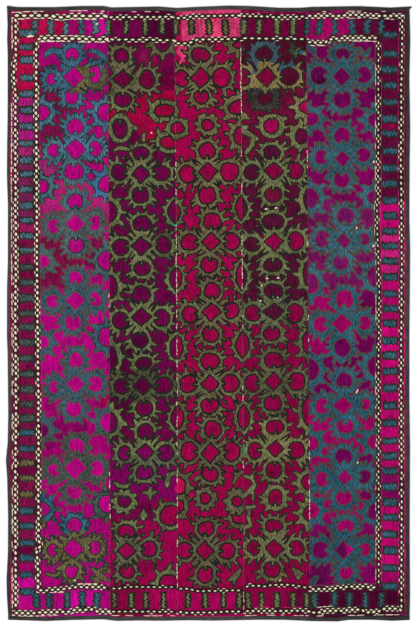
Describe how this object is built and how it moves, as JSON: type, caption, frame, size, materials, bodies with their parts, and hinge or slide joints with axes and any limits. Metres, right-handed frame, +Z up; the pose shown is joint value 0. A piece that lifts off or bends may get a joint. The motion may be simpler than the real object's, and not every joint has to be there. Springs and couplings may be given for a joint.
{
  "type": "rug",
  "caption": "Flat rectangular rug of narrow embroidered cloth strips sewn edge to edge, with a folded cotton tape binding all round.",
  "frame": {"origin": "on the ground under the centre of the rug's footprint", "axes": "+Z up, out of the embroidered face; +Y along the strips, towards the head end; +X across the strips"},
  "size_m": [1.54, 2.339, 0.0042],
  "materials": {
    "embroidery_left": "couched silk floss, magenta with slate blue and grey motifs, low sheen",
    "embroidery_mid_left": "couched silk floss, plum with olive motifs, low sheen",
    "embroidery_centre": "couched silk floss, crimson with khaki motifs, low sheen",
    "embroidery_mid_right": "couched silk floss, wine red with olive motifs, low sheen",
    "embroidery_right": "couched silk floss, purple with teal motifs, low sheen",
    "black_tape": "woven cotton tape, matt, faded black",
    "cream_thread": "twisted cotton and silk thread in braids, seams and worn ground",
    "black_thread": "twisted silk cord, crossing over the braids",
    "green_thread": "green repair stitches"
  },
  "bodies": {
    "root": {"strip_left": "embroidery_left", "strip_mid_left": "embroidery_mid_left", "strip_centre": "embroidery_centre", "strip_mid_right": "embroidery_mid_right", "strip_right": "embroidery_right", "binding_head": "black_tape", "binding_foot": "black_tape", "binding_left": "black_tape", "binding_right": "black_tape"}
  },
  "joints": []
}
